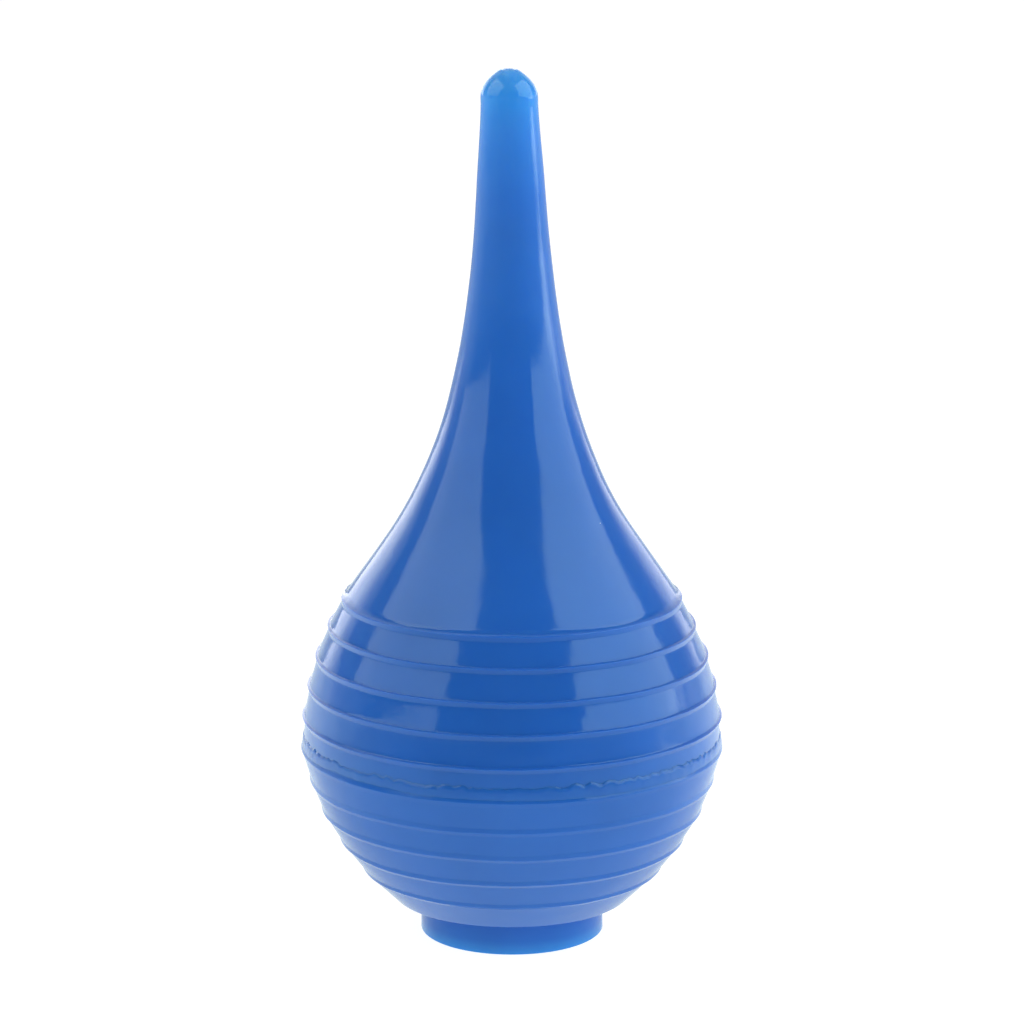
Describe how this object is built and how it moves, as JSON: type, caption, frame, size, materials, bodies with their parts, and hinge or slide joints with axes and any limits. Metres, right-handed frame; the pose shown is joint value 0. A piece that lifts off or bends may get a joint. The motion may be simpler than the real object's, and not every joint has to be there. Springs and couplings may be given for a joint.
{
  "type": "nasal aspirator",
  "caption": "Squeeze-bulb nasal aspirator for babies: ribbed round bulb on a flat foot, with a long tapering soft nozzle that ends in a small rounded tip.",
  "frame": {"origin": "centre of the foot's flat underside, where the aspirator stands", "axes": "+Z along the bulb's axis, from the foot to the nozzle's tip; the part is round about Z"},
  "size_m": [0.056, 0.056, 0.1147],
  "materials": {
    "shell_vinyl": "glossy soft vinyl",
    "foot_vinyl": "glossy soft vinyl",
    "weld_vinyl": "satin"
  },
  "bodies": {
    "bulb": {"upper_shell": "shell_vinyl", "seam_weld": "weld_vinyl", "lower_shell": "shell_vinyl"},
    "base": {"foot_plug": "foot_vinyl", "foot_seal": "weld_vinyl"}
  },
  "joints": [
    {"name": "base_press", "type": "slide", "parent": "bulb", "child": "base", "axis": [0, 0, 1], "range_m": [0, 0.012], "stiffness_N_per_m": 1000, "springref_m": -0.002, "deforming": ["lower_shell"]}
  ]
}
